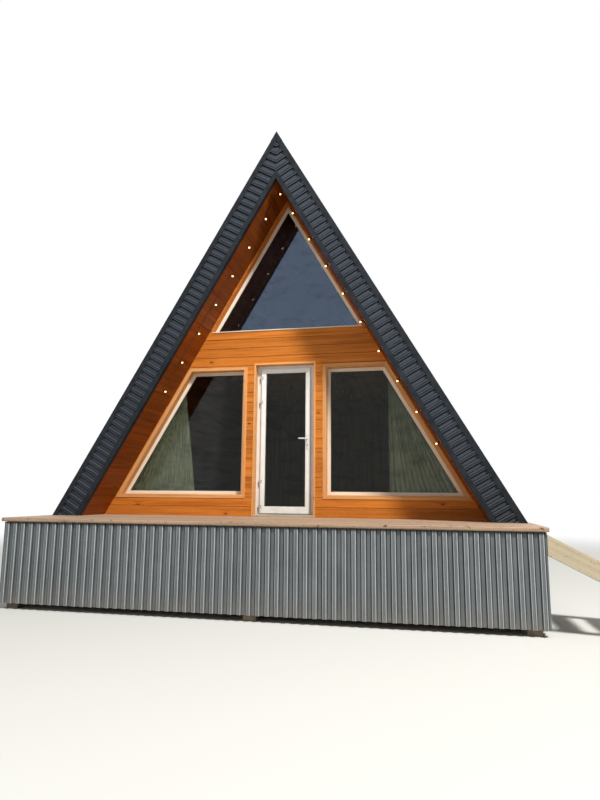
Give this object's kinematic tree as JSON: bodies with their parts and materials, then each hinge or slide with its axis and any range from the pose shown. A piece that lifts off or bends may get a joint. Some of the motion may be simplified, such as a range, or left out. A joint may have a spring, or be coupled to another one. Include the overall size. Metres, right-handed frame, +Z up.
{
  "type": "a-frame cabin",
  "caption": "Small timber A-frame cabin on a raised platform, with a glazed gable, a door that opens, a terrace, a side stair and a loft.",
  "frame": {"origin": "foot of the middle post, on the ground, on the centre line of the house", "axes": "+X to the right seen from the terrace, +Y from the terrace to the rear, +Z up"},
  "size_m": [7.955, 8.74, 6.4727],
  "materials": {
    "post_steel": "dull dark steel",
    "frame_timber": "sawn softwood",
    "deck_boards": "weathered pale deck boards",
    "floor_boards": "planed softwood boards",
    "skirting_steel": "grey coated ribbed sheet, dusty at the foot",
    "soffit_boards": "orange-brown stained boards",
    "roof_steel": "graphite coated ribbed sheet",
    "trim_steel": "graphite coated flashing",
    "wall_boards": "orange stained horizontal boards",
    "casing_boards": "light orange stained casings",
    "window_frames": "pale painted timber",
    "window_glass": "clear double glazing",
    "door_plastic": "white moulded plastic sections",
    "door_fittings": "white coated metal",
    "stair_timber": "pale unpainted timber",
    "curtain_fabric": "pale greenish grey cloth",
    "light_cable": "black flexible plastic",
    "light_bulbs": "warm translucent bulbs"
  },
  "bodies": {
    "house": {"posts": "post_steel", "bearers": "frame_timber", "floor_joists": "frame_timber", "edge_rails": "frame_timber", "terrace_deck": "deck_boards", "house_floor": "floor_boards", "skirting_front": "skirting_steel", "skirting_rear": "skirting_steel", "skirting_sides": "skirting_steel", "roof_lining": "soffit_boards", "sole_plates": "frame_timber", "rafters": "frame_timber", "ridge_board": "frame_timber", "roof_boards": "frame_timber", "roof_sheets": "roof_steel", "ridge_cap": "roof_steel", "front_fascia": "roof_steel", "rear_fascia": "roof_steel", "front_verge_trims": "trim_steel", "rear_verge_trims": "trim_steel", "loft_joists": "frame_timber", "loft_floor": "floor_boards", "front_wall_left": "frame_timber", "front_wall_right": "frame_timber", "front_wall_over": "frame_timber", "rear_wall": "frame_timber", "front_cladding": "wall_boards", "rear_cladding": "wall_boards", "front_casings": "casing_boards", "door_threshold": "casing_boards", "front_window_frames": "window_frames", "rear_window_frames": "window_frames", "front_window_panes": "window_glass", "rear_window_panes": "window_glass", "door_frame": "door_plastic", "hinges_on_frame": "door_fittings", "stair_stringers": "stair_timber", "stair_treads": "stair_timber", "curtains": "curtain_fabric", "light_string": "light_cable", "light_bulbs": "light_bulbs"},
    "door": {"door_leaf": "door_plastic", "door_pane": "window_glass", "hinges_on_leaf": "door_fittings", "door_handle": "door_fittings"}
  },
  "joints": [
    {"name": "door_hinge", "type": "hinge", "parent": "house", "child": "door", "pos_m": [-0.372, -2.656, 1.08], "axis": [0, 0, -1], "range_deg": [0, 90]}
  ]
}
